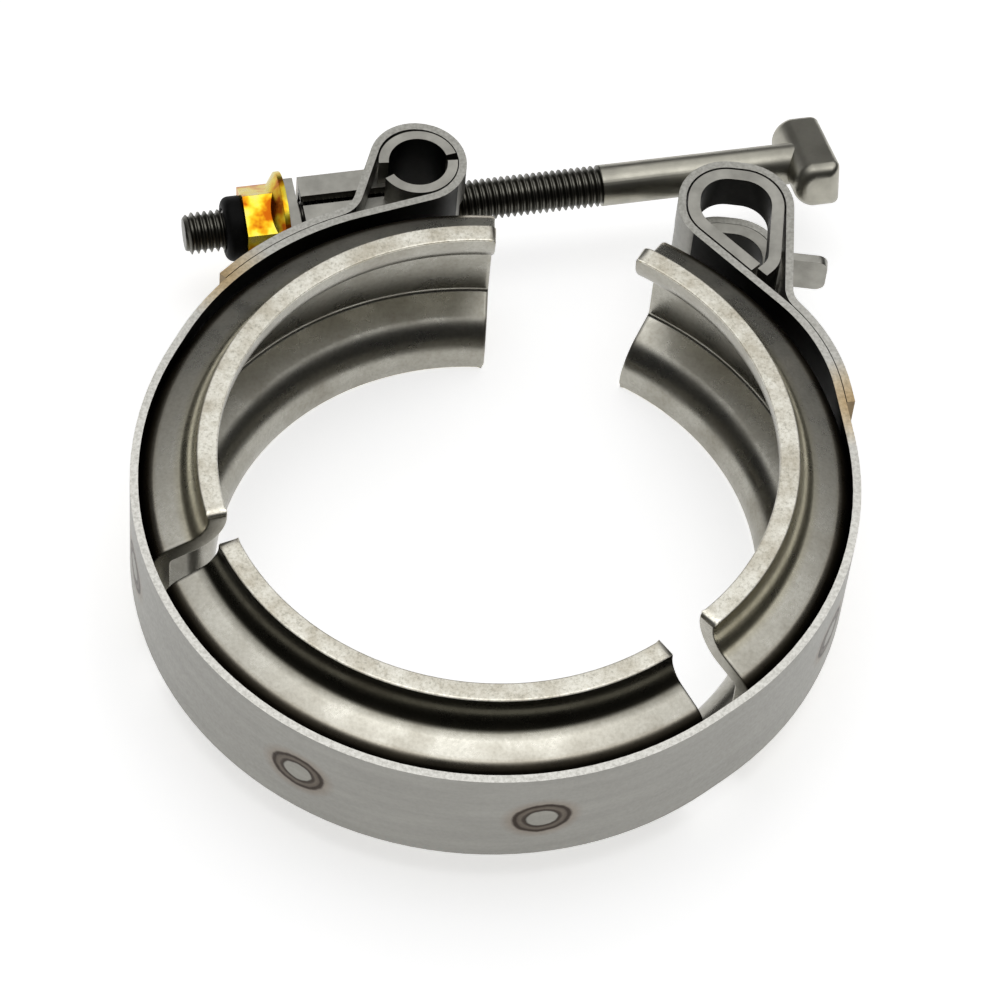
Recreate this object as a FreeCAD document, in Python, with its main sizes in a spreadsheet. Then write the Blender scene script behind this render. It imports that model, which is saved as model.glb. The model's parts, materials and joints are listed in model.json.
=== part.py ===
import FreeCAD, Part
import math
import os
import Sketcher

# V band clamp: an outer strap carries three V section retainers and two end loops.
# The left loop holds a swinging spacer trunnion with the T bolt, the right loop a hook trunnion.
# Origin: axis of the pipe joint at the strap's mid height. +Z runs along the pipe, +Y to the loops.

SIZES = {
    # strap
    "band_width": 24.15,
    "band_sheet": 1.5,
    "band_inner_radius": 62.74,
    "joint_straight": 4.66,
    "joint_angle": 314.4,
    "fold_gap": 0.15,
    # right side of the strap, seen from its own arc centre
    "hook_leave_angle": 14.0,
    "hook_bow_radius": 35.75,
    "hook_line_angle": 49.6,
    "hook_standoff": 1.1,
    "hook_reach": 14.9,
    "hook_loop_radius": 8.2,
    "hook_loop_rise": 1.3,
    "hook_loop_flat": 2.3,
    "hook_far_radius": 8.5,
    "hook_side_angle": 272.4,
    "hook_neck_radius": 5.5,
    "hook_tail_bare": 0.0,
    "hook_tail_straight": 3.4,
    # left side of the strap, given as on the right side and mirrored
    "bolt_leave_angle": 20.0,
    "bolt_bow_radius": 57.0,
    "bolt_line_angle": 64.8,
    "bolt_standoff": 0.85,
    "bolt_reach": 12.4,
    "bolt_loop_radius": 8.0,
    "bolt_loop_rise": 0.0,
    "bolt_loop_flat": 0.2,
    "bolt_far_radius": 7.3,
    "bolt_side_angle": 279.0,
    "bolt_neck_radius": 6.0,
    "bolt_tail_bare": 15.4,
    "bolt_tail_straight": 0.5,
    # windows in the two loops
    "hook_window_height": 9.4,
    "hook_window_angle": 68.0,
    "hook_window_half": 15.1,
    "hook_window_back": 3.9,
    "bolt_window_height": 9.6,
    "bolt_window_turn": 8.0,
    "bolt_window_half": 6.8,
    "channel_window_height": 13.0,
    "channel_window_clearance": 0.8,
    # retainers
    "retainer_sheet": 3.7,
    "retainer_seat_gap": 0.03,
    "lip_inner_radius": 48.65,
    "lip_half_height": 19.71,
    "groove_slope": 20.0,
    "lip_bend": 2.0,
    "base_bend": 4.5,
    "base_flat": 15.8,
    "lip_corner": 3.0,
    "left_start": 93.8,
    "left_span": 109.2,
    "front_gap_turn": 6.0,
    "front_span": 104.1,
    "right_gap_turn": 5.1,
    "right_end": 426.5,
    # hook trunnion
    "hook_sheet": 2.4,
    "hook_clearance": 0.35,
    "hook_leg": 13.4,
    "hook_right_leg": 11.4,
    "hook_toe_bend": 5.0,
    "hook_toe_turn": 39.0,
    "hook_toe": 1.6,
    "hook_slot_height": 8.6,
    "hook_slot_angle": 80.0,
    "hook_slot_half": 13.8,
    "hook_slot_back": 2.1,
    "tongue_drop": 4.9,
    "tongue_length": 9.6,
    "tongue_sheet": 1.8,
    "tongue_height": 8.2,
    "tongue_corner": 2.0,
    # spacer trunnion
    "tube_clearance": 0.5,
    "tube_shift": 0.3,
    "tube_sheet": 1.9,
    "tube_back_start": 8.5,
    "tube_back_end": 173.5,
    "tube_front_start": 203.5,
    "tube_front_end": 355.5,
    "channel_side": 11.8,
    "channel_sheet": 2.0,
    "channel_seam": 2.3,
    "channel_end": 22.4,
    "channel_root": 3.4,
    "web_relief": 0.9,
    "relief_floor": 1.2,
    "web_sheet": 2.2,
    # T bolt
    "bolt_angle": 16.46,
    "bolt_offset": 1.3,
    "bolt_diameter": 8.0,
    "bolt_clearance": 0.3,
    "bolt_free_end": 44.9,
    "bolt_head_face": 81.2,
    "bolt_tip_chamfer": 0.9,
    "head_tilt": 18.5,
    "head_length": 20.4,
    "head_thickness": 9.2,
    "head_depth": 9.1,
    "head_side_depth": 5.4,
    "head_edge": 1.2,
    "head_end_edge": 2.4,
    # lock nut and its collar
    "seat_gap": 0.1,
    "thread_clearance": 0.12,
    "nut_flats": 14.0,
    "nut_turned": 82.0,
    "nut_hex_height": 5.0,
    "flange_height": 3.1,
    "flange_diameter": 19.7,
    "flange_rim": 1.0,
    "collar_diameter": 12.4,
    "collar_height": 3.7,
    "collar_edge": 1.5,
    # how far cuts run past the faces they open
    "cut_margin": 1.0,
}

doc = FreeCAD.newDocument("v_band_clamp")
sheet = doc.addObject("Spreadsheet::Sheet", "Sizes")
for row, (alias, value) in enumerate(SIZES.items(), start=1):
    sheet.set("A%d" % row, alias)
    sheet.set("B%d" % row, str(value))
    sheet.setAlias("B%d" % row, alias)
doc.recompute()

Z_AXIS = FreeCAD.Vector(0, 0, 1)
X_AXIS = FreeCAD.Vector(1, 0, 0)
NEAR = 0.01  # mm, closer than this counts as the same place


def size(alias):
    """A driving dimension, read from the sheet."""
    return float(sheet.get(alias))


def polar(radius, angle, centre=(0.0, 0.0)):
    """The point at a radius and an angle in degrees about a centre."""
    turn = math.radians(angle)
    return (centre[0] + radius * math.cos(turn), centre[1] + radius * math.sin(turn))


def vector(spot, height=0.0):
    return FreeCAD.Vector(spot[0], spot[1], height)


# A folded sheet's middle line starts from a pose (x, y, heading) and runs through moves.
# A move is (length, 0) for a straight and (radius, turn) for a bend, where a left turn is positive.

def beside(pose, shift):
    """The pose moved sideways, to the left where shift is positive."""
    x, y, heading = pose
    spot = polar(shift, heading + 90, (x, y))
    return (spot[0], spot[1], heading)


def after(pose, move):
    """The pose at the end of one move."""
    x, y, heading = pose
    reach, turn = move
    if turn == 0:
        spot = polar(reach, heading, (x, y))
        return (spot[0], spot[1], heading)
    side = math.copysign(90, turn)
    centre = polar(reach, heading + side, (x, y))
    spot = polar(reach, heading - side + turn, centre)
    return (spot[0], spot[1], heading + turn)


def curve(pose, move, shift):
    """The sketch curve of one move, on the line that runs beside the middle line."""
    start = beside(pose, shift)
    stop = beside(after(pose, move), shift)
    reach, turn = move
    if turn == 0:
        return Part.LineSegment(vector(start), vector(stop))
    side = math.copysign(90, turn)
    centre = polar(reach, pose[2] + side, pose[:2])
    radius = reach - shift * math.copysign(1, turn)
    first = math.radians(pose[2] - side)
    last = math.radians(pose[2] - side + turn)
    full_turn = Part.Circle(vector(centre), Z_AXIS, radius)
    return Part.ArcOfCircle(full_turn, min(first, last), max(first, last))


def folded_outline(pose, moves, thickness):
    """The closed edge outline of a sheet folded along its middle line."""
    curves = []
    first = pose
    for move in moves:
        if move[0] == 0:
            continue
        curves.append(curve(pose, move, thickness / 2))
        curves.append(curve(pose, move, -thickness / 2))
        pose = after(pose, move)
    for end in (first, pose):
        left = beside(end, thickness / 2)
        right = beside(end, -thickness / 2)
        curves.append(Part.LineSegment(vector(left), vector(right)))
    return curves


def end_of(pose, moves):
    for move in moves:
        pose = after(pose, move)
    return pose


def mirrored(moves):
    return [(reach, -turn) for reach, turn in moves]


def origin_plane(body, role):
    for feature in body.Origin.OriginFeatures:
        if feature.Role == role:
            return feature


def new_body(label, placement=None):
    body = doc.addObject("PartDesign::Body", label)
    body.Label = label
    if placement is not None:
        body.Placement = placement
    return body


def new_sketch(body, name, role, curves, offset=None):
    """A sketch on one of the body's origin planes, holding the given curves."""
    sketch = body.newObject("Sketcher::SketchObject", name)
    sketch.AttachmentSupport = [(origin_plane(body, role), "")]
    sketch.MapMode = "FlatFace"
    if offset is not None:
        sketch.AttachmentOffset = offset
    sketch.addGeometry(curves, False)
    sketch.Visibility = False
    return sketch


def rectangle(x_low, y_low, x_high, y_high):
    corners = [(x_low, y_low), (x_high, y_low), (x_high, y_high), (x_low, y_high)]
    return polygon(corners)


def polygon(corners):
    sides = zip(corners, corners[1:] + corners[:1])
    return [Part.LineSegment(vector(start), vector(stop)) for start, stop in sides]


def circle(radius, centre=(0.0, 0.0)):
    return [Part.Circle(vector(centre), Z_AXIS, radius)]


def extrude(body, kind, name, sketch, length, both_ways=True, reverse=False):
    """A pad or a pocket whose length is an expression on the sheet."""
    feature = body.newObject(kind, name)
    feature.Profile = sketch
    if both_ways:
        feature.SideType = "Symmetric"
    feature.Reversed = reverse
    feature.setExpression("Length", length)
    return feature


def edges_where(shape, wanted):
    """The names of a shape's edges that pass a test."""
    return ["Edge%d" % number for number, edge in enumerate(shape.Edges, start=1) if wanted(edge)]


def dressed(body, kind, name, base, wanted, alias, reach="Radius"):
    """A fillet or a chamfer on the edges of a feature that pass a test, as the body's new tip."""
    doc.recompute()
    feature = body.newObject("PartDesign::" + kind, name)
    feature.Base = (base, edges_where(base.Shape, wanted))
    feature.setExpression(reach, "Sizes." + alias)
    body.Tip = feature
    return feature


def arc_centre_right():
    """The centre of the strap's right arc, beyond the straight at the front joint."""
    return polar(size("joint_straight"), size("joint_angle") + 90)


# ---------------------------------------------------------------- strap

BAND_RADIUS = size("band_inner_radius") + size("band_sheet") / 2
FRONT = (0.0, -BAND_RADIUS, 0.0)
FRONT_BACKWARDS = (0.0, -BAND_RADIUS, 180.0)


def strap_half(side, joint):
    """Moves of the strap from its front middle to one tail, as they run on the right side."""
    leave = size(side + "_leave_angle")
    bow = size(side + "_bow_radius")
    line_angle = size(side + "_line_angle")
    loop = size(side + "_loop_radius") + size("band_sheet") / 2
    bend = math.radians(line_angle - leave)
    line_distance = BAND_RADIUS + size(side + "_standoff")
    lead = (line_distance - bow - (BAND_RADIUS - bow) * math.cos(bend)) / math.sin(bend)
    bow_end = lead * math.cos(bend) - (BAND_RADIUS - bow) * math.sin(bend)
    to_joint = size("joint_angle") - 270
    if joint:
        ring = [(BAND_RADIUS, to_joint), (size("joint_straight"), 0), (BAND_RADIUS, 90 + leave - to_joint)]
    else:
        ring = [(BAND_RADIUS, 90 + leave)]
    far_loop = size(side + "_far_radius") + size("band_sheet") / 2
    to_loop = ring + [(lead, 0), (bow, line_angle - leave), (size(side + "_reach") - bow_end, 0)]
    loop_moves = [
        (loop, -line_angle),
        (size(side + "_loop_rise"), 0),
        (loop, -90),
        (size(side + "_loop_flat"), 0),
        (far_loop, size(side + "_side_angle") - 360),
    ]
    bow_start = end_of(FRONT, ring + [(lead, 0)])
    bow_centre = beside(bow_start, bow)[:2]
    tail = strap_tail(side, end_of(FRONT, to_loop + loop_moves), bow_centre, bow, bow_start[2])
    return to_loop, loop_moves + tail


def strap_tail(side, pose, bow_centre, bow, tail_heading):
    """The side of a loop, its neck bend and the tail folded back on the outside of the strap."""
    neck = size(side + "_neck_radius")
    tail = bow + size("band_sheet") + size("fold_gap")
    neck_start = beside(pose, neck)
    dx = bow_centre[0] - neck_start[0]
    dy = bow_centre[1] - neck_start[1]
    along = dx * math.cos(math.radians(pose[2])) + dy * math.sin(math.radians(pose[2]))
    across = math.sqrt(dx * dx + dy * dy - along * along)
    drop = along - math.sqrt((neck + tail) ** 2 - across ** 2)
    neck_centre = polar(drop, pose[2], neck_start[:2])
    meeting = math.degrees(math.atan2(neck_centre[1] - bow_centre[1], neck_centre[0] - bow_centre[0]))
    tail_turn = meeting - (tail_heading - 90) % 360 - size(side + "_tail_bare")
    neck_turn = meeting - 90 - (pose[2] - 360 * round(pose[2] / 360))
    return [(drop, 0), (neck, neck_turn), (tail, -tail_turn), (size(side + "_tail_straight"), 0)]


TO_HOOK_LOOP, HOOK_LOOP = strap_half("hook", True)
TO_BOLT_LOOP, BOLT_LOOP = strap_half("bolt", False)
HOOK_LOOP_START = end_of(FRONT, TO_HOOK_LOOP)
BOLT_LOOP_START = end_of(FRONT_BACKWARDS, mirrored(TO_BOLT_LOOP))
HOOK_CENTRE = beside(HOOK_LOOP_START, -HOOK_LOOP[0][0])[:2]
BOLT_CENTRE = beside(BOLT_LOOP_START, BOLT_LOOP[0][0])[:2]
LOOP_CENTRES = {"hook": HOOK_CENTRE, "bolt": BOLT_CENTRE}


def window(body, name, loop, direction, half_width, back=0.0):
    """Cuts a window through a loop, from a little behind its centre to well past its wall."""
    centre = LOOP_CENTRES[loop]
    reach = 2 * (size(loop + "_loop_radius") + 2 * size("band_sheet"))
    corners = []
    for along, side in ((-back, -1), (reach, -1), (reach, 1), (-back, 1)):
        spot = polar(along, direction, centre)
        corners.append(polar(side * half_width, direction + 90, spot))
    sketch = new_sketch(body, name + "_sketch", "XY_Plane", polygon(corners))
    return extrude(body, "PartDesign::Pocket", name, sketch, "Sizes.%s_height" % name)


def outer_strap():
    body = new_body("outer_strap")
    left_half = TO_BOLT_LOOP + BOLT_LOOP
    left_end = end_of(FRONT_BACKWARDS, mirrored(left_half))
    start = (left_end[0], left_end[1], left_end[2] + 180)
    outline = folded_outline(start, left_half[::-1] + TO_HOOK_LOOP + HOOK_LOOP, size("band_sheet"))
    sketch = new_sketch(body, "strap_edge", "XY_Plane", outline)
    extrude(body, "PartDesign::Pad", "strap_sheet", sketch, "Sizes.band_width")
    window(body, "hook_window", "hook", size("hook_window_angle"),
           size("hook_window_half"), size("hook_window_back"))
    towards_head = size("bolt_angle")
    window(body, "bolt_window", "bolt", towards_head + size("bolt_window_turn"), size("bolt_window_half"))
    channel_half = size("channel_side") / 2 + size("bolt_offset") + size("channel_window_clearance")
    window(body, "channel_window", "bolt", towards_head + 180, channel_half)
    return body


# ---------------------------------------------------------------- retainers

def retainer_outline():
    """The V section of a retainer as (radius, height), folded from its lower lip to its upper lip."""
    thick = size("retainer_sheet")
    slope = size("groove_slope")
    lip = size("lip_inner_radius") + thick / 2
    base = size("band_inner_radius") - size("retainer_seat_gap") - thick / 2
    lip_bend = size("lip_bend") + thick / 2
    base_bend = size("base_bend") - thick / 2
    turn = 90 - slope
    rise = math.radians(slope)
    leg = (base - lip - (lip_bend + base_bend) * (1 - math.sin(rise))) / math.cos(rise)
    bends_height = (lip_bend + base_bend) * math.cos(rise) + leg * math.sin(rise)
    wall = size("lip_half_height") - size("base_flat") / 2 - bends_height
    moves = [
        (wall, 0),
        (lip_bend, -turn),
        (leg, 0),
        (base_bend, turn),
        (size("base_flat"), 0),
        (base_bend, turn),
        (leg, 0),
        (lip_bend, -turn),
        (wall, 0),
    ]
    return folded_outline((lip, -size("lip_half_height"), 90.0), moves, thick)


def is_lip_corner(edge):
    """True for the short edges across the ends of the two lips, in the retainer's own frame."""
    spot = edge.CenterOfMass
    at_lip = abs(abs(spot.z) - size("lip_half_height")) < NEAR
    return at_lip and abs(edge.Length - size("retainer_sheet")) < NEAR


# Each retainer starts a gap after the one before it, and the right one runs to its own end.
FRONT_START = size("left_start") + size("left_span") + size("front_gap_turn")
RIGHT_START = FRONT_START + size("front_span") + size("right_gap_turn")
BEFORE_RIGHT = ("left_start", "left_span", "front_gap_turn", "front_span", "right_gap_turn")
RIGHT_SPAN = " - ".join("Sizes." + name for name in ("right_end",) + BEFORE_RIGHT)


def retainer(label, start, span, centre):
    turned = FreeCAD.Rotation(Z_AXIS, start)
    body = new_body(label, FreeCAD.Placement(vector(centre), turned))
    sketch = new_sketch(body, label + "_section", "XZ_Plane", retainer_outline())
    section = body.newObject("PartDesign::Revolution", label + "_arc")
    section.Profile = sketch
    section.ReferenceAxis = (sketch, ["V_Axis"])
    section.setExpression("Angle", span)
    dressed(body, "Fillet", label + "_corners", section, is_lip_corner, "lip_corner")
    return body


# ---------------------------------------------------------------- hook trunnion

def hook_trunnion():
    body = new_body("hook_trunnion")
    thick = size("hook_sheet")
    inset = size("band_sheet") / 2 + size("hook_clearance") + thick / 2
    bend = size("hook_loop_radius") - size("hook_clearance") - thick / 2
    far_bend = size("hook_far_radius") - size("hook_clearance") - thick / 2
    leg_end = after(beside(HOOK_LOOP_START, -inset), (-size("hook_leg"), 0))
    over_the_top = [
        (size("hook_leg"), 0),
        (bend, -size("hook_line_angle")),
        (size("hook_loop_rise"), 0),
        (bend, -90),
        (size("hook_loop_flat"), 0),
        (far_bend, -90),
    ]
    moves = over_the_top + [
        (size("hook_right_leg"), 0),
        (size("hook_toe_bend"), -size("hook_toe_turn")),
        (size("hook_toe"), 0),
    ]
    sketch = new_sketch(body, "hook_edge", "XY_Plane", folded_outline(leg_end, moves, thick))
    extrude(body, "PartDesign::Pad", "hook_sheet_pad", sketch, "Sizes.band_width")
    window(body, "hook_slot", "hook", size("hook_slot_angle"),
           size("hook_slot_half"), size("hook_slot_back"))
    root = end_of(leg_end, over_the_top)
    tip = root[0] + thick / 2 + size("tongue_length")
    half_sheet = size("tongue_sheet") / 2
    tongue_y = root[1] - size("tongue_drop")
    outline = rectangle(root[0], tongue_y - half_sheet, tip, tongue_y + half_sheet)
    sketch = new_sketch(body, "tongue_edge", "XY_Plane", outline)
    tongue = extrude(body, "PartDesign::Pad", "tongue", sketch, "Sizes.tongue_height")

    def is_tongue_corner(edge):
        return abs(edge.CenterOfMass.x - tip) < NEAR and edge.Length < size("tongue_sheet") + NEAR

    dressed(body, "Fillet", "tongue_corners", tongue, is_tongue_corner, "tongue_corner")
    return body


# ---------------------------------------------------------------- bolt side, along the bolt's own axis

TUBE_CENTRE = polar(size("tube_shift"), size("bolt_angle"), BOLT_CENTRE)


def along_bolt(twist=0.0):
    """The place of a piece drawn along +X from beside the tube's centre, twisted about the bolt's axis."""
    swung = FreeCAD.Rotation(Z_AXIS, size("bolt_angle"))
    twisted = FreeCAD.Rotation(X_AXIS, twist)
    axis_foot = vector(polar(-size("bolt_offset"), size("bolt_angle") + 90, TUBE_CENTRE))
    return FreeCAD.Placement(axis_foot, swung.multiply(twisted))


def station(distance):
    """Moves a sketch on the cross plane along the bolt's axis."""
    return FreeCAD.Placement(FreeCAD.Vector(0, 0, distance), FreeCAD.Rotation())


def spacer_trunnion():
    body = new_body("spacer_trunnion", along_bolt())
    half = size("channel_side") / 2
    inner = half - size("channel_sheet")
    seam = size("channel_seam") / 2
    section = polygon([
        (seam, half), (half, half), (half, -half), (-half, -half), (-half, half), (-seam, half),
        (-seam, inner), (-inner, inner), (-inner, -inner), (inner, -inner), (inner, inner), (seam, inner),
    ])
    outer_radius = size("bolt_loop_radius") - size("tube_clearance")
    bore = outer_radius - size("tube_sheet")
    end = -size("channel_end")
    sketch = new_sketch(body, "channel_section", "YZ_Plane", section, station(end))
    channel = body.newObject("PartDesign::Pad", "channel")
    channel.Profile = sketch
    channel.setExpression("Length", "Sizes.channel_end - Sizes.channel_root")
    tube_centre = (0.0, size("bolt_offset"))
    tube_middle = outer_radius - size("tube_sheet") / 2
    for name in ("back", "front"):
        first = size("tube_%s_start" % name)
        last = size("tube_%s_end" % name)
        spot = polar(tube_middle, first, tube_centre)
        pose = (spot[0], spot[1], first + 90)
        outline = folded_outline(pose, [(tube_middle, last - first)], size("tube_sheet"))
        sketch = new_sketch(body, "tube_%s_edge" % name, "XY_Plane", outline)
        extrude(body, "PartDesign::Pad", "tube_" + name, sketch, "Sizes.band_width")
    sketch = new_sketch(body, "tube_bore_edge", "XY_Plane", circle(bore, tube_centre))
    extrude(body, "PartDesign::Pocket", "tube_bore", sketch, "Sizes.band_width + Sizes.cut_margin")
    web_face = end - size("web_relief") - size("web_sheet")
    sketch = new_sketch(body, "web_section", "YZ_Plane", rectangle(-half, -half, half, half), station(web_face))
    web = extrude(body, "PartDesign::Pad", "web", sketch, "Sizes.web_sheet + Sizes.web_relief", False)
    relief = rectangle(-half, size("relief_floor") - inner, half, half + size("cut_margin"))
    sketch = new_sketch(body, "relief_section", "YZ_Plane", relief, station(end - size("web_relief")))
    extrude(body, "PartDesign::Pocket", "relief", sketch, "Sizes.web_relief", False, True)
    hole_radius = size("bolt_diameter") / 2 + size("bolt_clearance")
    sketch = new_sketch(body, "bolt_hole_section", "YZ_Plane", circle(hole_radius), station(web_face))
    hole = extrude(body, "PartDesign::Pocket", "bolt_hole", sketch,
                   "Sizes.channel_end + 2 * Sizes.bolt_loop_radius", False, True)
    body.Tip = hole
    return body


def t_bolt():
    body = new_body("t_bolt", along_bolt(-size("head_tilt")))
    free_end = -size("bolt_free_end")
    sketch = new_sketch(body, "shank_section", "YZ_Plane", circle(size("bolt_diameter") / 2), station(free_end))
    shank = body.newObject("PartDesign::Pad", "shank")
    shank.Profile = sketch
    shank.setExpression("Length", "Sizes.bolt_free_end + Sizes.bolt_head_face - Sizes.head_depth / 2")
    face = size("bolt_head_face")
    side = face - size("head_side_depth")
    back = face - size("head_depth")
    rim = size("head_thickness") / 2
    section = [
        Part.LineSegment(vector((side, -rim)), vector((face, -rim))),
        Part.LineSegment(vector((face, -rim)), vector((face, rim))),
        Part.LineSegment(vector((face, rim)), vector((side, rim))),
        Part.Arc(vector((side, rim)), vector((back, 0.0)), vector((side, -rim))),
    ]
    sketch = new_sketch(body, "head_section", "XZ_Plane", section)
    head = extrude(body, "PartDesign::Pad", "head", sketch, "Sizes.head_length")

    def is_long_face_edge(edge):
        spot = edge.CenterOfMass
        return spot.sub(vector((face, 0.0), math.copysign(rim, spot.z))).Length < NEAR

    def is_on_head_end(edge):
        return abs(abs(edge.CenterOfMass.y) - size("head_length") / 2) < NEAR

    def is_at_free_end(edge):
        return abs(edge.CenterOfMass.x - free_end) < NEAR

    rounded = dressed(body, "Fillet", "face_edges", head, is_long_face_edge, "head_edge")
    rounded = dressed(body, "Fillet", "end_edges", rounded, is_on_head_end, "head_end_edge")
    dressed(body, "Chamfer", "free_end_chamfer", rounded, is_at_free_end, "bolt_tip_chamfer", "Size")
    return body


def nut_seat():
    return -(size("channel_end") + size("web_relief") + size("web_sheet") + size("seat_gap"))


def lock_nut():
    body = new_body("lock_nut", along_bolt(size("nut_turned") - 90))
    seat = nut_seat()
    corner_radius = size("nut_flats") / math.sqrt(3)
    hexagon = polygon([polar(corner_radius, 90 + 60 * number) for number in range(6)])
    hex_end = seat - size("flange_height") - size("nut_hex_height")
    sketch = new_sketch(body, "hex_section", "YZ_Plane", hexagon, station(hex_end))
    extrude(body, "PartDesign::Pad", "hex", sketch, "Sizes.nut_hex_height + Sizes.flange_height / 2", False)
    flange = size("flange_diameter") / 2
    neck = size("nut_flats") / 2
    profile = polygon([
        (seat, 0.0), (seat, flange), (seat - size("flange_rim"), flange),
        (seat - size("flange_height"), neck), (seat - size("flange_height"), 0.0),
    ])
    sketch = new_sketch(body, "flange_section", "XY_Plane", profile)
    cone = body.newObject("PartDesign::Revolution", "flange")
    cone.Profile = sketch
    cone.ReferenceAxis = (sketch, ["H_Axis"])
    cone.Angle = 360
    bore = circle(size("bolt_diameter") / 2 + size("thread_clearance"))
    sketch = new_sketch(body, "nut_bore_section", "YZ_Plane", bore, station(hex_end))
    hole = extrude(body, "PartDesign::Pocket", "nut_bore", sketch,
                   "Sizes.nut_hex_height + Sizes.flange_height + Sizes.cut_margin", False, True)
    body.Tip = hole
    return body


def lock_collar():
    body = new_body("lock_collar", along_bolt())
    hex_end = nut_seat() - size("flange_height") - size("nut_hex_height")
    far_end = hex_end - size("collar_height")
    outer = size("collar_diameter") / 2
    inner = size("bolt_diameter") / 2 + size("thread_clearance")
    edge = size("collar_edge")
    round_centre = (far_end + edge, outer - edge)
    profile = [
        Part.LineSegment(vector((hex_end, inner)), vector((hex_end, outer))),
        Part.LineSegment(vector((hex_end, outer)), vector((far_end + edge, outer))),
        Part.ArcOfCircle(Part.Circle(vector(round_centre), Z_AXIS, edge), math.pi / 2, math.pi),
        Part.LineSegment(vector((far_end, outer - edge)), vector((far_end, inner))),
        Part.LineSegment(vector((far_end, inner)), vector((hex_end, inner))),
    ]
    sketch = new_sketch(body, "collar_section", "XY_Plane", profile)
    ring = body.newObject("PartDesign::Revolution", "collar_ring")
    ring.Profile = sketch
    ring.ReferenceAxis = (sketch, ["H_Axis"])
    ring.Angle = 360
    body.Tip = ring
    return body


bodies = [
    outer_strap(),
    retainer("front_retainer", FRONT_START, "Sizes.front_span", (0.0, 0.0)),
    retainer("left_retainer", size("left_start"), "Sizes.left_span", (0.0, 0.0)),
    retainer("right_retainer", RIGHT_START, RIGHT_SPAN, arc_centre_right()),
    hook_trunnion(),
    spacer_trunnion(),
    t_bolt(),
    lock_nut(),
    lock_collar(),
]
doc.recompute()

for item in doc.Objects:
    if "Invalid" in item.State or "Error" in item.State:
        raise RuntimeError("%s: %s" % (item.Label, item.State))

os.makedirs("parts", exist_ok=True)
for body in bodies:
    shape = body.Shape
    if shape.isNull() or not shape.isValid() or not shape.Solids:
        raise RuntimeError("%s has no valid solid" % body.Label)
    print("%-16s solids %d faces %d volume %.1f" % (body.Label, len(shape.Solids), len(shape.Faces), shape.Volume))
    shape.exportStep("parts/%s.step" % body.Label)
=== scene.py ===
import json
import math

import bmesh
import bpy
from mathutils import Matrix, Vector


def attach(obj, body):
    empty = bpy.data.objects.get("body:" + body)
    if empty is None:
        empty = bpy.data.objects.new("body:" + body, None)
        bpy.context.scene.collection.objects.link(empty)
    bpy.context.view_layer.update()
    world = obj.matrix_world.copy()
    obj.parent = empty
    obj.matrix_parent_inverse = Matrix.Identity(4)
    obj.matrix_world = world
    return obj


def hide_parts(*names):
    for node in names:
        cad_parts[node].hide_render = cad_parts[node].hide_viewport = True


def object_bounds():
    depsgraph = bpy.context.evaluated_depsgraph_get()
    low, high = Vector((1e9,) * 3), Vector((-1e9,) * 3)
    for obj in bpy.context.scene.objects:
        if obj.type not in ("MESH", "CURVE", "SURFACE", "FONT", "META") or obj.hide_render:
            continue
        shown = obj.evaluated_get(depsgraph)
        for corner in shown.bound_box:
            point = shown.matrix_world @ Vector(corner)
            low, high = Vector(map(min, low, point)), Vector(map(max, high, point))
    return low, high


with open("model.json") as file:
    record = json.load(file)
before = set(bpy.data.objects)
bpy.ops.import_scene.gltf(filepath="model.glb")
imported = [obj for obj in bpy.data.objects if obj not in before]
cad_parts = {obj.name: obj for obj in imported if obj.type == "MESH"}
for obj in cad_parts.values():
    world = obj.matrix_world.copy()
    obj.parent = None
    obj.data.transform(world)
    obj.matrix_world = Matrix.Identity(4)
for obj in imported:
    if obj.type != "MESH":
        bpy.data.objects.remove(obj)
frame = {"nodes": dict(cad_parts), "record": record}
cad_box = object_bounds()

# V band clamp. The CAD pieces get eased edges, the retainers are pressed again with softer
# bends, and the bolt gets its rolled thread.
# Lengths are in metres, in the CAD's own frame: the origin lies on the pipe joint's axis.
MM = 0.001
JOINTS = {joint["name"]: joint for joint in frame["record"]["behaviour"]["joints"]}
BOLT_FOOT = Vector(JOINTS["nut_turn"]["pos_m"])
BOLT_AXIS = Vector(JOINTS["nut_turn"]["axis"]).normalized()

UP = Vector((0, 0, 1))
IN_PLAN = Vector((1, 1, 0))

# ---------------------------------------------------------------- materials

WHITE = (1.0, 1.0, 1.0)


def new_material(name):
    """A material with its Principled shader and an Object coordinate output."""
    material = bpy.data.materials.new(name)
    material.use_nodes = True
    shader = material.node_tree.nodes["Principled BSDF"]
    coordinates = material.node_tree.nodes.new("ShaderNodeTexCoord").outputs["Object"]
    return material, shader, coordinates


def bare_metal(name):
    """A new material whose surface is bare metal."""
    material, shader, place = new_material(name)
    shader.inputs["Metallic"].default_value = 1.0
    return material, shader, place


def surface(material, shader, colour, roughness):
    """Gives a material its colour and its roughness."""
    links = material.node_tree.links
    links.new(colour, shader.inputs["Base Color"])
    links.new(roughness, shader.inputs["Roughness"])


def combine(tree, operation, values):
    """Several values brought to one by an operation of the Math node."""
    total = values[0]
    for value in values[1:]:
        node = tree.nodes.new("ShaderNodeMath")
        node.operation = operation
        tree.links.new(total, node.inputs[0])
        tree.links.new(value, node.inputs[1])
        total = node.outputs["Value"]
    return total


def noise(material, coordinates, scale, detail=3.0, roughness=0.55, stretch=(1.0, 1.0, 1.0)):
    """A noise pattern's value, stretched along the axes where asked."""
    tree = material.node_tree
    mapping = tree.nodes.new("ShaderNodeMapping")
    mapping.inputs["Scale"].default_value = stretch
    tree.links.new(coordinates, mapping.inputs["Vector"])
    pattern = tree.nodes.new("ShaderNodeTexNoise")
    pattern.inputs["Scale"].default_value = scale
    pattern.inputs["Detail"].default_value = detail
    pattern.inputs["Roughness"].default_value = roughness
    tree.links.new(mapping.outputs["Vector"], pattern.inputs["Vector"])
    return pattern.outputs["Fac"]


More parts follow.
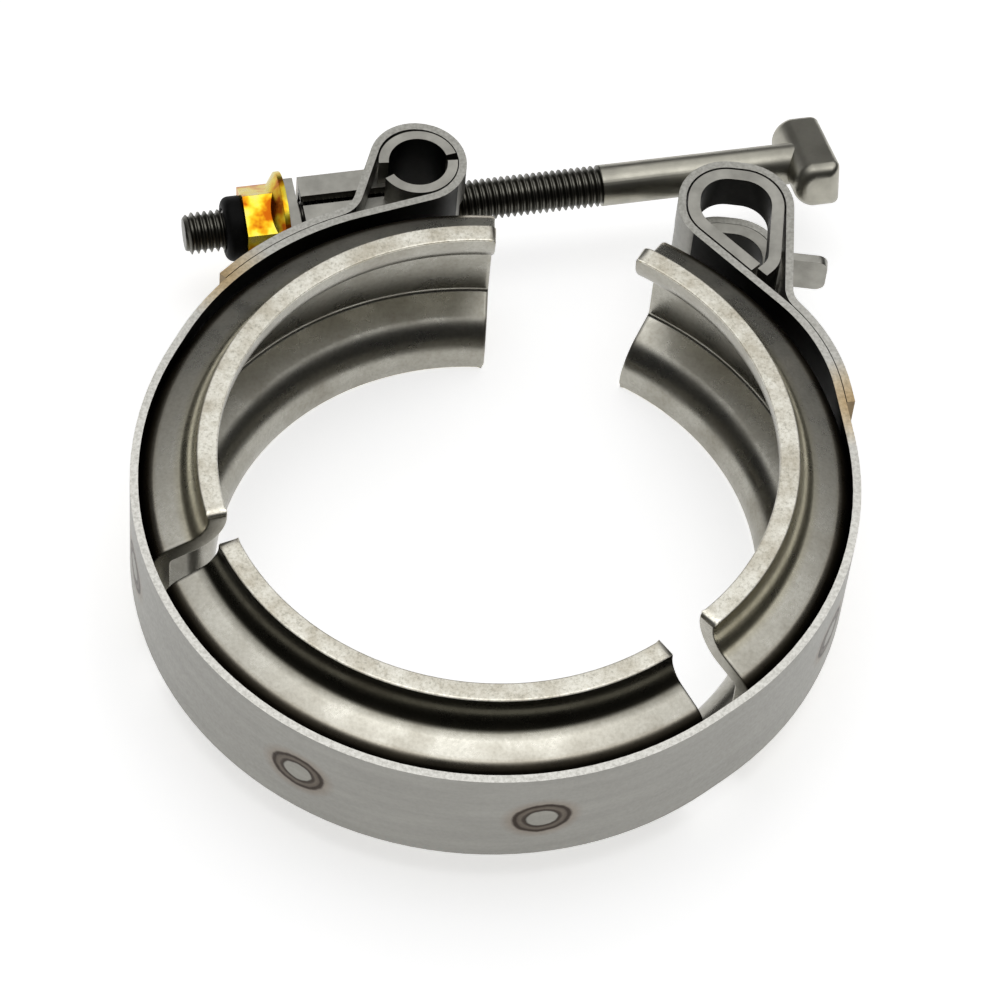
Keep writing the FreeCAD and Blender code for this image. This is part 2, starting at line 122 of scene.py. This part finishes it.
def ramp(material, value, stops):
    """Colours spread over a value from 0 to 1."""
    tree = material.node_tree
    node = tree.nodes.new("ShaderNodeValToRGB")
    tree.links.new(value, node.inputs["Fac"])
    elements = node.color_ramp.elements
    while len(elements) < len(stops):
        elements.new(0.5)
    for element, (place, colour) in zip(elements, stops):
        element.position = place
        element.color = (*colour, 1.0)
    return node.outputs["Color"]


def levels(material, value, low, high, from_low=0.3, from_high=0.7):
    """A value spread between two levels."""
    tree = material.node_tree
    node = tree.nodes.new("ShaderNodeMapRange")
    node.inputs["From Min"].default_value = from_low
    node.inputs["From Max"].default_value = from_high
    node.inputs["To Min"].default_value = low
    node.inputs["To Max"].default_value = high
    tree.links.new(value, node.inputs["Value"])
    return node.outputs["Result"]


def times(material, first, second):
    """Two colours multiplied."""
    tree = material.node_tree
    node = tree.nodes.new("ShaderNodeMix")
    node.data_type = "RGBA"
    node.blend_type = "MULTIPLY"
    node.inputs["Factor"].default_value = 1.0
    tree.links.new(first, node.inputs["A"])
    tree.links.new(second, node.inputs["B"])
    return node.outputs["Result"]


def nearest(material, coordinates, spots, upright=1.0):
    """The distance from the nearest of some spots.

    Heights are multiplied by upright, so 0 measures in plan.
    """
    tree = material.node_tree
    mapping = tree.nodes.new("ShaderNodeMapping")
    mapping.inputs["Scale"].default_value = (1.0, 1.0, upright)
    tree.links.new(coordinates, mapping.inputs["Vector"])
    distances = []
    for spot in spots:
        node = tree.nodes.new("ShaderNodeVectorMath")
        node.operation = "DISTANCE"
        tree.links.new(mapping.outputs["Vector"], node.inputs[0])
        node.inputs[1].default_value = (spot.x, spot.y, spot.z * upright)
        distances.append(node.outputs["Value"])
    return combine(tree, "MINIMUM", distances)


def bump(material, shader, value, strength, distance):
    """Raises a surface by a value, as fine relief in its shading."""
    tree = material.node_tree
    node = tree.nodes.new("ShaderNodeBump")
    node.inputs["Strength"].default_value = strength
    node.inputs["Distance"].default_value = distance
    tree.links.new(value, node.inputs["Height"])
    tree.links.new(node.outputs["Normal"], shader.inputs["Normal"])


MORE_RED = 0.4
LESS_BLUE = 1.6


def grey(level, warmth=0.0):
    """A grey that leans to straw as its warmth rises."""
    return (level * (1 + MORE_RED * warmth), level, level * (1 - LESS_BLUE * warmth))


# The strap runs round two arcs: the left one about the origin, the right one about its own centre.
RIGHT_ARC = Vector((3.33, 3.26, 0.0)) * MM
STRAP_OUTSIDE = 64.24 * MM

# Ring shaped spot weld marks on the strap's outer face, as angles on the two arcs.
LEFT_WELDS = (116.0, 139.0, 168.0, 197.0, 244.7, 284.4)
RIGHT_WELDS = (342.0, 12.0, 36.0)
WELD_HEIGHT = -0.5 * MM
WELD_REACH = 9.0 * MM
WELD_UPRIGHT = 1.2
WELD_WANDER = 0.012

# Heat tint round the ends of the strap's two tails.
TAIL_ENDS = (Vector((-53.2, 39.7, 0.0)) * MM, Vector((65.2, 26.2, 0.0)) * MM)
TINT_REACH = 12.0 * MM

# The strap's cut edges grow darker from the ring's middle towards the loops.
LOOPS_REACH = 70.0 * MM

# The stretch of radius over which shade is painted into a retainer's bends, making them darker than
# its leg.
BEND_SHADE_FROM = 52.0 * MM
BEND_SHADE_TO = 63.0 * MM

FINE_GRAIN = 0.03 * MM
SHEAR_GRAIN = 0.04 * MM
FORGED_GRAIN = 0.05 * MM


def weld_spots():
    """The middles of the weld marks."""
    spots = []
    for centre, angles in ((Vector(), LEFT_WELDS), (RIGHT_ARC, RIGHT_WELDS)):
        for angle in angles:
            turn = math.radians(angle)
            spot = centre + Vector((math.cos(turn), math.sin(turn), 0.0)) * STRAP_OUTSIDE
            spot.z = WELD_HEIGHT
            spots.append(spot)
    return spots


def weld_marks(material, place):
    """Brown rings with a pale middle, their edges a little uneven."""
    gap = levels(material, nearest(material, place, weld_spots(), WELD_UPRIGHT),
                 0.0, 1.0, 0.0, WELD_REACH)
    wander = levels(material, noise(material, place, 500.0, 3.0), -WELD_WANDER, WELD_WANDER)
    return ramp(material, combine(material.node_tree, "ADD", [gap, wander]), [
        (0.0, (0.97, 0.97, 0.95)),
        (0.29, (0.95, 0.94, 0.91)),
        (0.33, (0.12, 0.09, 0.07)),
        (0.37, (0.16, 0.12, 0.1)),
        (0.42, (0.42, 0.36, 0.31)),
        (0.48, (0.34, 0.28, 0.24)),
        (0.52, (0.1, 0.07, 0.05)),
        (0.57, (0.14, 0.1, 0.08)),
        (0.62, (0.88, 0.8, 0.74)),
        (0.85, WHITE),
    ])


def heat_tint(material, place):
    """Straw to brown where the two tails end."""
    tail = levels(material, nearest(material, place, TAIL_ENDS, 0.0), 0.0, 1.0, 0.0, TINT_REACH)
    return ramp(material, tail, [
        (0.0, (0.72, 0.54, 0.33)),
        (0.15, (0.86, 0.66, 0.42)),
        (0.45, (1.0, 0.86, 0.66)),
        (0.85, WHITE),
    ])


def strap_steel():
    """Matt rolled strip with ring shaped weld marks and straw coloured heat tint at the tails."""
    material, shader, place = bare_metal("strap_steel")
    rolled = noise(material, place, 45.0, 4.0, 0.6, (1.0, 1.0, 9.0))
    colour = ramp(material, rolled, [(0.3, grey(0.29, 0.05)), (0.7, grey(0.335, 0.05))])
    colour = times(material, colour, weld_marks(material, place))
    colour = times(material, colour, heat_tint(material, place))
    grain = noise(material, place, 1400.0, 2.0)
    surface(material, shader, colour, levels(material, grain, 0.36, 0.48))
    bump(material, shader, grain, 0.2, FINE_GRAIN)
    return material


def sheared_edge():
    """The bright cut edges of the strip, with fine shear lines."""
    material, shader, place = bare_metal("sheared_edge")
    lines = noise(material, place, 1500.0, 4.0, 0.6)
    colour = ramp(material, lines, [(0.35, grey(0.56, 0.05)), (0.6, grey(0.76, 0.04))])
    apart = material.node_tree.nodes.new("ShaderNodeSeparateXYZ")
    material.node_tree.links.new(place, apart.inputs["Vector"])
    loops = ramp(material, levels(material, apart.outputs["Y"], 0.0, 1.0, 0.0, LOOPS_REACH),
                 [(0.0, WHITE), (0.9, (0.55, 0.55, 0.54))])
    colour = times(material, times(material, colour, loops), heat_tint(material, place))
    surface(material, shader, colour, levels(material, lines, 0.42, 0.3))
    return material


def painted_shade_inside(name):
    """Dull steel painted near black as shade, inside the strap and the trunnions' bores."""
    material, shader, place = bare_metal(name)
    cloud = noise(material, place, 120.0, 4.0, 0.6)
    colour = ramp(material, cloud, [(0.3, grey(0.008, 0.08)), (0.7, grey(0.02, 0.08))])
    surface(material, shader, colour, levels(material, cloud, 0.5, 0.4))
    return material


def lip_edge():
    """The sheared edge of a retainer's lips, pocked with fine specks."""
    material, shader, place = bare_metal("lip_edge")
    speck = noise(material, place, 1900.0, 4.0, 0.7)
    blotch = noise(material, place, 170.0, 4.0, 0.65)
    colour = ramp(material, speck, [
        (0.3, grey(0.5, 0.08)),
        (0.46, grey(0.74, 0.08)),
        (0.62, grey(0.84, 0.06)),
    ])
    shade = ramp(material, blotch, [(0.34, (0.7, 0.67, 0.62)), (0.6, WHITE)])
    roughness = levels(material, speck, 0.42, 0.3, 0.35, 0.65)
    surface(material, shader, times(material, colour, shade), roughness)
    bump(material, shader, speck, 0.3, SHEAR_GRAIN)
    return material


def pressed_steel(name, level, centre=None, bend_shade=0.1):
    """A retainer's smooth pressed skin.

    Where the arc's centre is given, shade is painted into the bend by the lip and the outer bend,
    which makes them dark.
    """
    material, shader, place = bare_metal(name)
    speck = noise(material, place, 1500.0, 3.0, 0.6)
    blotch = noise(material, place, 110.0, 5.0, 0.65)
    colour = ramp(material, speck, [(0.3, grey(0.86 * level, 0.08)), (0.6, grey(level, 0.07))])
    shade = ramp(material, blotch, [(0.3, (0.8, 0.78, 0.75)), (0.6, WHITE)])
    colour = times(material, colour, shade)
    if centre is not None:
        # Painted shade: dark in the bend by the lip, brown to dark in the outer bend by the strap,
        # set by radius from the arc's centre.
        radius = nearest(material, place, [centre], 0.0)
        painted_bend_shade = ramp(material, levels(material, radius, 0.0, 1.0, BEND_SHADE_FROM, BEND_SHADE_TO), [
            (0.0, grey(bend_shade, 0.1)),
            (0.25, grey(1.5 * bend_shade, 0.1)),
            (0.43, WHITE),
            (0.68, WHITE),
            (0.82, (0.5, 0.44, 0.36)),
            (0.95, (0.2, 0.17, 0.14)),
        ])
        colour = times(material, colour, painted_bend_shade)
    surface(material, shader, colour, levels(material, blotch, 0.34, 0.24, 0.35, 0.65))
    bump(material, shader, speck, 0.2, FINE_GRAIN)
    return material


def trunnion_steel():
    """Satin sheet with fine scuffs."""
    material, shader, place = bare_metal("trunnion_steel")
    cloud = noise(material, place, 220.0, 5.0, 0.6)
    colour = ramp(material, cloud, [(0.3, grey(0.29, 0.06)), (0.7, grey(0.4, 0.06))])
    surface(material, shader, colour, levels(material, cloud, 0.42, 0.3))
    bump(material, shader, noise(material, place, 1300.0, 2.0), 0.2, FINE_GRAIN)
    return material


def bolt_steel(name, low, high):
    """Dull forged steel, lighter where it is rubbed."""
    material, shader, place = bare_metal(name)
    cloud = noise(material, place, 160.0, 5.0, 0.6)
    colour = ramp(material, cloud, [(0.3, grey(low, 0.09)), (0.7, grey(high, 0.09))])
    surface(material, shader, colour, levels(material, cloud, 0.42, 0.3))
    bump(material, shader, noise(material, place, 900.0, 3.0), 0.25, FORGED_GRAIN)
    return material


def yellow_zinc():
    """Yellow chromated zinc, straw to orange."""
    material, shader, place = bare_metal("yellow_zinc")
    tint = noise(material, place, 230.0, 3.0, 0.5)
    colour = ramp(material, tint, [
        (0.36, (0.45, 0.1, 0.004)),
        (0.44, (0.64, 0.33, 0.01)),
        (0.52, (0.68, 0.54, 0.04)),
        (0.66, (0.56, 0.46, 0.14)),
    ])
    surface(material, shader, colour, levels(material, tint, 0.34, 0.24))
    return material


def collar_black():
    """The locking collar's dull black."""
    material, shader, place = new_material("collar_black")
    cloud = noise(material, place, 400.0, 3.0)
    colour = ramp(material, cloud, [(0.3, grey(0.004)), (0.7, grey(0.01))])
    surface(material, shader, colour, levels(material, cloud, 0.45, 0.6))
    shader.inputs["Specular IOR Level"].default_value = 0.06
    return material


# ---------------------------------------------------------------- pieces

# Edges sharper than SHARP are eased and shaded sharp, and faces closer to flat than FLAT are one.
SHARP = math.radians(28)
FLAT = math.radians(0.4)
SAME_SPOT = 0.001 * MM
TUBE_CENTRE = Vector(JOINTS["trunnion_swing"]["pos_m"])
TUBE_BORE = 6.0 * MM
HOOK_CENTRE = Vector((40.7, 69.1, 0.0)) * MM
HOOK_BORE = 8.5 * MM

# A face looks a way when the cosine of the angle between its normal and that way is over LOOKS.
LOOKS = 0.5

# An inward face nearer than this to an arc's centre is the strap's inside, and not a loop's.
INSIDE_LIMIT = 64.9 * MM


def merged_copy(node):
    """A bmesh of a CAD node's mesh with its loose triangles merged into whole faces."""
    shape = bmesh.new()
    shape.from_mesh(frame["nodes"][node].data)
    bmesh.ops.remove_doubles(shape, verts=shape.verts, dist=SAME_SPOT)
    bmesh.ops.dissolve_limit(shape, angle_limit=FLAT, verts=shape.verts, edges=shape.edges)
    return shape


def sharp_edges(shape):
    """The edges where two faces meet at more than SHARP."""
    return [edge for edge in shape.edges
            if len(edge.link_faces) == 2 and edge.calc_face_angle() > SHARP]


def ease_edges(shape, width):
    """Rounds the sharp edges off a little, as tumbling does."""
    bmesh.ops.bevel(shape, geom=sharp_edges(shape), offset=width, offset_type="OFFSET",
                    segments=2, profile=0.5, affect="EDGES", clamp_overlap=True, material=-1)


def finished(shape, name, body, finishes):
    """A piece from a bmesh, smooth but for its sharp edges, riding on a body."""
    for face in shape.faces:
        face.smooth = True
    for edge in sharp_edges(shape):
        edge.smooth = False
    mesh = bpy.data.meshes.new(name)
    shape.to_mesh(mesh)
    shape.free()
    for finish in finishes:
        mesh.materials.append(finish)
    piece = bpy.data.objects.new(name, mesh)
    bpy.context.scene.collection.objects.link(piece)
    shading = piece.modifiers.new("even_shading", "WEIGHTED_NORMAL")
    shading.keep_sharp = True
    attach(piece, body)
    return piece


def eased_piece(node, body, finishes, width, kind_of=None):
    """A CAD node's shape with eased edges; kind_of gives the number of the finish for each face."""
    shape = merged_copy(node)
    ease_edges(shape, width)
    if kind_of:
        for face in shape.faces:
            face.material_index = kind_of(face)
    piece = finished(shape, node + "_eased", body, finishes)
    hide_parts(node)


def strap_side(face):
    """0 for the strap's outer face, 1 for its cut edges, 2 for its inner face."""
    if abs(face.normal.z) > LOOKS:
        return 1
    for centre in (Vector(), RIGHT_ARC):
        outward = (face.calc_center_median() - centre) * IN_PLAN
        if outward.length < INSIDE_LIMIT and face.normal.dot(outward) < 0:
            return 2
    return 0


def bore_side(face, centre, radius):
    """1 for a face of a bore about an upright axis, else 0."""
    inward = (centre - face.calc_center_median()) * IN_PLAN
    return int(inward.length < radius and face.normal.dot(inward) > LOOKS * inward.length)


def tube_side(face):
    """1 for the spacer trunnion's bore, else 0."""
    return bore_side(face, TUBE_CENTRE, TUBE_BORE)


def hook_side(face):
    """1 for the hook trunnion's inside, else 0."""
    return bore_side(face, HOOK_CENTRE, HOOK_BORE)


def along_bolt():
    """Turns a piece made along +X from the origin onto the bolt's axis."""
    across = UP.cross(BOLT_AXIS)
    turned = Matrix((BOLT_AXIS, across, UP)).transposed().to_4x4()
    return Matrix.Translation(BOLT_FOOT) @ turned


# The retainers' section, from its lips to the floor that lies against the strap. Each of its
# bends turns the sheet by twice HALF_BEND.
SHEET = 3.7 * MM
LIP_RADIUS = 48.65 * MM
BASE_RADIUS = 62.71 * MM
LIP_HEIGHT = 19.71 * MM
BASE_HALF = 7.9 * MM
GROOVE_SLOPE = math.radians(20)
HALF_BEND = (math.pi / 2 - GROOVE_SLOPE) / 2
LIP_BEND = 8.3 * MM
BASE_BEND = 0.8 * MM
BEND_STEPS = 4
ARC_STEP = math.radians(0.75)
LIP_CORNER = 0.8 * MM
AT_LIP = 0.1 * MM

# How far a retainer's faces lean up or out, from which its finishes are told apart.
LIP_LEANS_UP = 0.35
SKIN_LEANS = 0.8
OUTSIDE_LEANS_UP = 0.1
OUTSIDE_LEANS_OUT = 0.3

# Each retainer's arc: its centre, its start and span in degrees, and how dark the shade painted
# into its bends is.
RETAINERS = {
    "front_retainer": (Vector(), 209.0, 104.1, 0.09),
    "left_retainer": (Vector(), 93.8, 109.2, 0.55),
    "right_retainer": (RIGHT_ARC, 318.2, 108.3, 0.55),
}


def groove_line():
    """The corners of a retainer's groove side, as radius, height and bend radius."""
    floor_radius = BASE_RADIUS - SHEET
    base_corner = BASE_HALF + BASE_BEND * math.tan(HALF_BEND)
    lip_corner = base_corner + (floor_radius - LIP_RADIUS) * math.tan(GROOVE_SLOPE)
    lower = [
        (LIP_RADIUS, -LIP_HEIGHT, 0.0),
        (LIP_RADIUS, -lip_corner, LIP_BEND),
        (floor_radius, -base_corner, BASE_BEND),
    ]
    return lower + [(radius, -height, bend) for radius, height, bend in reversed(lower)]


def retainer_side(face):
    """0 for a retainer's groove side and sheared ends, 1 for its outside, 2 for the lips' edges."""
    middle = face.calc_center_median()
    upward = face.normal.z * math.copysign(1, middle.z)
    outward = face.normal.dot((middle * IN_PLAN).normalized())
    if upward > LIP_LEANS_UP and abs(middle.z) > LIP_HEIGHT - LIP_CORNER:
        return 2
    if math.hypot(upward, outward) < SKIN_LEANS:
        return 0
    return int(upward > OUTSIDE_LEANS_UP or outward > OUTSIDE_LEANS_OUT)


def round_lip_corners(shape, span):
    """Rounds the four corners where the lips' edges meet the sheared ends."""
    for vert in shape.verts:
        turn = math.atan2(vert.co.y, vert.co.x)
        along = max(min(turn, span - turn), 0) * LIP_RADIUS
        short = LIP_CORNER - along
        if abs(vert.co.z) > LIP_HEIGHT - AT_LIP and short > 0:
            height = LIP_HEIGHT - LIP_CORNER + math.sqrt(LIP_CORNER ** 2 - short ** 2)
            vert.co.z = math.copysign(height, vert.co.z)


def face_outwards(shape):
    """Turns an open shell's faces away from the upright axis."""
    bmesh.ops.recalc_face_normals(shape, faces=shape.faces)
    facing = sum(face.normal.dot(face.calc_center_median() * IN_PLAN) for face in shape.faces)
    if facing < 0:
        bmesh.ops.reverse_faces(shape, faces=shape.faces)


def pressed_sheet(span):
    """The groove's line with its bends, run round an arc and thickened away from the groove."""
    shape = bmesh.new()
    line = groove_line()
    points = [shape.verts.new((radius, 0, height)) for radius, height, _ in line]
    for pair in zip(points, points[1:]):
        shape.edges.new(pair)
    for point, (_, _, bend) in zip(points, line):
        if bend:
            bmesh.ops.bevel(shape, geom=[point], offset=bend * math.tan(HALF_BEND),
                            offset_type="OFFSET", segments=BEND_STEPS + round(bend / MM),
                            profile=0.5, affect="VERTICES", material=-1)
    bmesh.ops.spin(shape, geom=shape.verts[:] + shape.edges[:], cent=(0, 0, 0), axis=UP,
                   dvec=(0, 0, 0), angle=span, steps=round(span / ARC_STEP))
    face_outwards(shape)
    bmesh.ops.solidify(shape, geom=shape.faces[:], thickness=-SHEET)
    bmesh.ops.recalc_face_normals(shape, faces=shape.faces)
    return shape


def pressed_retainer(node, centre, start, span, bend_shade):
    """A retainer pressed from sheet, with rounded lips and a finish for each of its sides."""
    span = math.radians(span)
    shape = pressed_sheet(span)
    round_lip_corners(shape, span)
    ease_edges(shape, RETAINER_EASE)
    for vert in shape.verts:
        vert.co.z = max(-LIP_HEIGHT, min(LIP_HEIGHT, vert.co.z))
    for face in shape.faces:
        face.material_index = retainer_side(face)
    turned = Matrix.Rotation(math.radians(start), 3, "Z")
    bmesh.ops.rotate(shape, verts=shape.verts, cent=(0, 0, 0), matrix=turned)
    bmesh.ops.translate(shape, verts=shape.verts, vec=centre)
    finishes = [GROOVE_PAINTED_SHADE, pressed_steel(node + "_outside_painted_shade", 0.7, centre, bend_shade), LIP]
    piece = finished(shape, node + "_pressed", "band", finishes)
    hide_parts(node)


# The thread's profile: where its flats begin and end as shares of a pitch, and its radii.
PITCH = 1.25 * MM
CREST_ENDS = 0.125
ROOT_STARTS = 0.4375
ROOT_ENDS = 0.6875
CREST_RADIUS = 4.0 * MM
ROOT_RADIUS = 3.28 * MM

# The thread's ends along the bolt, and the pitches it runs past each before it is cut there.
FREE_END = -44.9 * MM
THREAD_END = 35.9 * MM
RUN_PAST = 1.5
TIP_RADIUS = 3.1 * MM
STEPS_IN_TURN = 20
SAME_TURN = 0.01 * MM
ON_THE_CUT = 0.0001 * MM


def cut_across(shape, station, side):
    """Cuts a shape across the bolt's axis, drops what lies on one side and closes the cut."""
    cut = bmesh.ops.bisect_plane(
        shape, geom=shape.verts[:] + shape.edges[:] + shape.faces[:], dist=ON_THE_CUT,
        plane_co=(station, 0, 0), plane_no=(side, 0, 0), clear_outer=True)
    rim = [item for item in cut["geom_cut"] if isinstance(item, bmesh.types.BMEdge)]
    bmesh.ops.holes_fill(shape, edges=rim)


def chamfer_tip(shape):
    """Draws the thread in to a cone of 45 degrees at the bolt's free end."""
    for vert in shape.verts:
        reach = math.hypot(vert.co.y, vert.co.z)
        most = TIP_RADIUS + vert.co.x - FREE_END
        if reach > most:
            vert.co.y *= most / reach
            vert.co.z *= most / reach


def rolled_thread(finish):
    """The rolled thread: one pitch of its profile run round the axis as a helix."""
    shape = bmesh.new()
    profile = [
        (0.0, CREST_RADIUS),
        (CREST_ENDS, CREST_RADIUS),
        (ROOT_STARTS, ROOT_RADIUS),
        (ROOT_ENDS, ROOT_RADIUS),
        (1.0, CREST_RADIUS),
    ]
    start = FREE_END - RUN_PAST * PITCH
    points = [shape.verts.new((start + along * PITCH, 0, radius)) for along, radius in profile]
    sides = [shape.edges.new(pair) for pair in zip(points, points[1:])]
    turns = round((THREAD_END - FREE_END) / PITCH) + round(2 * RUN_PAST)
    bmesh.ops.spin(shape, geom=points + sides, cent=(0, 0, 0), axis=(1, 0, 0),
                   dvec=(PITCH / STEPS_IN_TURN, 0, 0), angle=math.tau * turns,
                   steps=STEPS_IN_TURN * turns)
    bmesh.ops.remove_doubles(shape, verts=shape.verts, dist=SAME_TURN)
    cut_across(shape, FREE_END, -1)
    cut_across(shape, THREAD_END, 1)
    chamfer_tip(shape)
    bmesh.ops.recalc_face_normals(shape, faces=shape.faces)
    bmesh.ops.transform(shape, matrix=along_bolt(), verts=shape.verts)
    finished(shape, "bolt_thread", "bolt", [finish])


def bolt_and_head(finish):
    """The plain shank and the T head, cut off where the thread begins."""
    shape = merged_copy("t_bolt")
    bmesh.ops.transform(shape, matrix=along_bolt().inverted(), verts=shape.verts)
    cut_across(shape, THREAD_END, -1)
    bmesh.ops.transform(shape, matrix=along_bolt(), verts=shape.verts)
    piece = finished(shape, "shank_and_head", "bolt", [finish])
    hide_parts("t_bolt")


# The width of the eased edges.
STRAP_EASE = 0.3 * MM
RETAINER_EASE = 0.4 * MM
HOOK_EASE = 0.25 * MM
SPACER_EASE = 0.2 * MM
NUT_EASE = 0.35 * MM
COLLAR_EASE = 0.3 * MM

# The groove side and sheared ends are the retainers' steel at 0.42 against the outside's 0.7: the
# groove's shade is painted into their colour.
GROOVE_PAINTED_SHADE = pressed_steel("groove_side_painted_shade", 0.42)
LIP = lip_edge()
# The trunnions' bores get steel painted near black as shade.
TRUNNION = [trunnion_steel(), painted_shade_inside("bore_inside_painted_shade")]
# The strap's inner face gets steel painted near black as shade.
STRAP = [strap_steel(), sheared_edge(), painted_shade_inside("strap_inside_painted_shade")]
eased_piece("outer_strap", "band", STRAP, STRAP_EASE, strap_side)
for retainer, arc in RETAINERS.items():
    pressed_retainer(retainer, *arc)
eased_piece("hook_trunnion", "band", TRUNNION, HOOK_EASE, hook_side)
eased_piece("spacer_trunnion", "swing", TRUNNION, SPACER_EASE, tube_side)
eased_piece("lock_nut", "nut", [yellow_zinc()], NUT_EASE)
eased_piece("lock_collar", "nut", [collar_black()], COLLAR_EASE)
rolled_thread(bolt_steel("thread_steel", 0.08, 0.15))
bolt_and_head(bolt_steel("bolt_steel", 0.32, 0.46))

# ---------------------------------------------------------------- floor, light and camera

FLOOR_SIZE = 6.0
FLOOR_WHITE = (0.9, 0.9, 0.9, 1)
FLOOR_GLOW = 0.62
LOWEST = cad_box[0][2]

# A wide white ceiling: its brightness and the room's, the way it leans, and its soft edge.
OVERHEAD = 1.0
ROOM = 0.03
CEILING_LEAN = (0.0, 0.36, 1.0)
CEILING_EDGE = (0.67, 0.86)

LAMP_PLACE = (0.0, 0.05, 1.4)
LAMP_SIZE = (0.9, 0.6)
LAMP_POWER = 2.2

VIEW_ELEVATION = math.radians(54.62)
VIEW_ROLL = math.radians(6.25)
VIEW_DISTANCE = 852.5465 * MM
VIEW_AIM = Vector((2.68, 4.186, 0.0)) * MM
LENS = 167.95
SENSOR_WIDTH = 36.0


def seen_directly(tree):
    """1 for rays from the camera, a reflection or glass, else 0."""
    path = tree.nodes.new("ShaderNodeLightPath")
    kinds = ("Is Camera Ray", "Is Glossy Ray", "Is Transmission Ray")
    return combine(tree, "MAXIMUM", [path.outputs[kind] for kind in kinds])


def studio_floor():
    """A wide white floor under the clamp, which glows only where it is seen."""
    shape = bmesh.new()
    bmesh.ops.create_grid(shape, x_segments=1, y_segments=1, size=FLOOR_SIZE / 2)
    bmesh.ops.translate(shape, verts=shape.verts, vec=(0, 0, LOWEST))
    mesh = bpy.data.meshes.new("studio_floor")
    shape.to_mesh(mesh)
    shape.free()
    floor = bpy.data.objects.new("studio_floor", mesh)
    bpy.context.scene.collection.objects.link(floor)
    material, shader, _ = new_material("floor_white")
    shader.inputs["Base Color"].default_value = FLOOR_WHITE
    shader.inputs["Roughness"].default_value = 1.0
    shader.inputs["Specular IOR Level"].default_value = 0.0
    shader.inputs["Emission Color"].default_value = (1, 1, 1, 1)
    tree = material.node_tree
    tree.links.new(levels(material, seen_directly(tree), 0.0, FLOOR_GLOW, 0.0, 1.0),
                   shader.inputs["Emission Strength"])
    mesh.materials.append(material)


def soft_box(name, place, size, power):
    """A rectangular area lamp that faces the clamp."""
    lamp = bpy.data.lights.new(name, "AREA")
    lamp.shape = "RECTANGLE"
    lamp.size, lamp.size_y = size
    lamp.energy = power
    holder = bpy.data.objects.new(name, lamp)
    holder.location = place
    holder.rotation_euler = (-Vector(place)).to_track_quat("-Z", "Y").to_euler()
    bpy.context.scene.collection.objects.link(holder)


def studio_light():
    """A dim room with a white ceiling and a lamp, and the white backdrop that the camera sees."""
    world = bpy.data.worlds.new("studio")
    bpy.context.scene.world = world
    world.use_nodes = True
    tree = world.node_tree
    background = tree.nodes["Background"]
    background.inputs["Color"].default_value = (1, 1, 1, 1)
    direction = tree.nodes.new("ShaderNodeTexCoord").outputs["Generated"]
    tilted = tree.nodes.new("ShaderNodeVectorMath")
    tilted.operation = "DOT_PRODUCT"
    tree.links.new(direction, tilted.inputs[0])
    tilted.inputs[1].default_value = Vector(CEILING_LEAN).normalized()
    ceiling = tree.nodes.new("ShaderNodeMapRange")
    ceiling.interpolation_type = "SMOOTHSTEP"
    ceiling.inputs["From Min"].default_value = CEILING_EDGE[0]
    ceiling.inputs["From Max"].default_value = CEILING_EDGE[1]
    ceiling.inputs["To Min"].default_value = ROOM
    ceiling.inputs["To Max"].default_value = OVERHEAD
    tree.links.new(tilted.outputs["Value"], ceiling.inputs["Value"])
    path = tree.nodes.new("ShaderNodeLightPath")
    strength = tree.nodes.new("ShaderNodeMapRange")
    tree.links.new(path.outputs["Is Camera Ray"], strength.inputs["Value"])
    tree.links.new(ceiling.outputs["Result"], strength.inputs["To Min"])
    strength.inputs["To Max"].default_value = 1.0
    tree.links.new(strength.outputs["Result"], background.inputs["Strength"])
    soft_box("top_light", LAMP_PLACE, LAMP_SIZE, LAMP_POWER)


def camera():
    """A long lens that looks down at the clamp from the front, rolled a little."""
    back = Vector((0, -math.cos(VIEW_ELEVATION), math.sin(VIEW_ELEVATION)))
    level = Vector((1, 0, 0))
    upright = back.cross(level)
    right = math.cos(VIEW_ROLL) * level + math.sin(VIEW_ROLL) * upright
    up = back.cross(right)
    data = bpy.data.cameras.new("camera")
    data.lens = LENS
    data.sensor_width = SENSOR_WIDTH
    holder = bpy.data.objects.new("camera", data)
    turned = Matrix((right, up, back)).transposed().to_4x4()
    holder.matrix_world = Matrix.Translation(back * VIEW_DISTANCE + VIEW_AIM) @ turned
    bpy.context.scene.collection.objects.link(holder)
    bpy.context.scene.camera = holder


studio_floor()
studio_light()
camera()
bpy.context.scene.view_settings.view_transform = "Standard"
